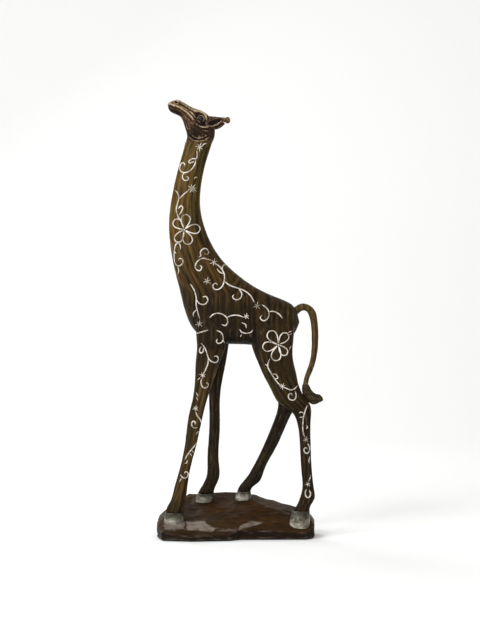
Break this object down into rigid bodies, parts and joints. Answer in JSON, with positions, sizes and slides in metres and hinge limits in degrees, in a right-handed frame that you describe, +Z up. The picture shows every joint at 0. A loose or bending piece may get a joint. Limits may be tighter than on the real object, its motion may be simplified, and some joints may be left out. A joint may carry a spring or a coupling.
{
  "type": "giraffe statue",
  "caption": "Carved giraffe statue in stride on a faceted rock, muzzle raised, horns laid back, tail curling down to one hock, with raised silver scroll and flower lines on its outer sides",
  "frame": {"origin": "on the table under the middle of the rock, on the felt's underside", "axes": "+Z is up, -X is the way the giraffe faces, and -Y is its left side"},
  "size_m": [0.2274, 0.106, 0.6004],
  "materials": {
    "dark_wood": "dark olive-brown stain over strong long grain, satin",
    "light_wood": "olive-tan stain with pale dry-brushed edges, satin",
    "rock_wood": "brown stain with rubbed grey rim, satin",
    "hoof_paint": "silver-green rubbed paint over wood",
    "silver_line": "silver-white raised line paste, satin",
    "eye_bead": "black glossy bead",
    "dowel_wood": "plain birch dowel",
    "screw_steel": "zinc-plated steel",
    "felt": "dark green felt"
  },
  "bodies": {
    "root": {"felt_pad": "felt", "front_left_dowel": "dowel_wood", "front_left_hoof": "hoof_paint", "front_left_leg": "dark_wood", "front_left_leg_scroll": "silver_line", "front_left_screw": "screw_steel", "front_right_dowel": "dowel_wood", "front_right_hoof": "hoof_paint", "front_right_leg": "dark_wood", "front_right_leg_scroll": "silver_line", "front_right_screw": "screw_steel", "head": "light_wood", "head_dowel": "dowel_wood", "hind_left_dowel": "dowel_wood", "hind_left_hoof": "hoof_paint", "hind_left_leg": "dark_wood", "hind_left_leg_scroll": "silver_line", "hind_left_screw": "screw_steel", "hind_right_dowel": "dowel_wood", "hind_right_hoof": "hoof_paint", "hind_right_leg": "dark_wood", "hind_right_leg_scroll": "silver_line", "hind_right_screw": "screw_steel", "left_ear": "light_wood", "left_eye": "eye_bead", "left_horn": "light_wood", "neck": "light_wood", "neck_dowel": "dowel_wood", "neck_scroll_left": "silver_line", "neck_scroll_right": "silver_line", "right_ear": "light_wood", "right_eye": "eye_bead", "right_horn": "light_wood", "rock": "rock_wood", "tail": "dark_wood", "tail_tuft": "dark_wood", "torso": "dark_wood", "torso_scroll_left": "silver_line", "torso_scroll_right": "silver_line"}
  },
  "joints": []
}
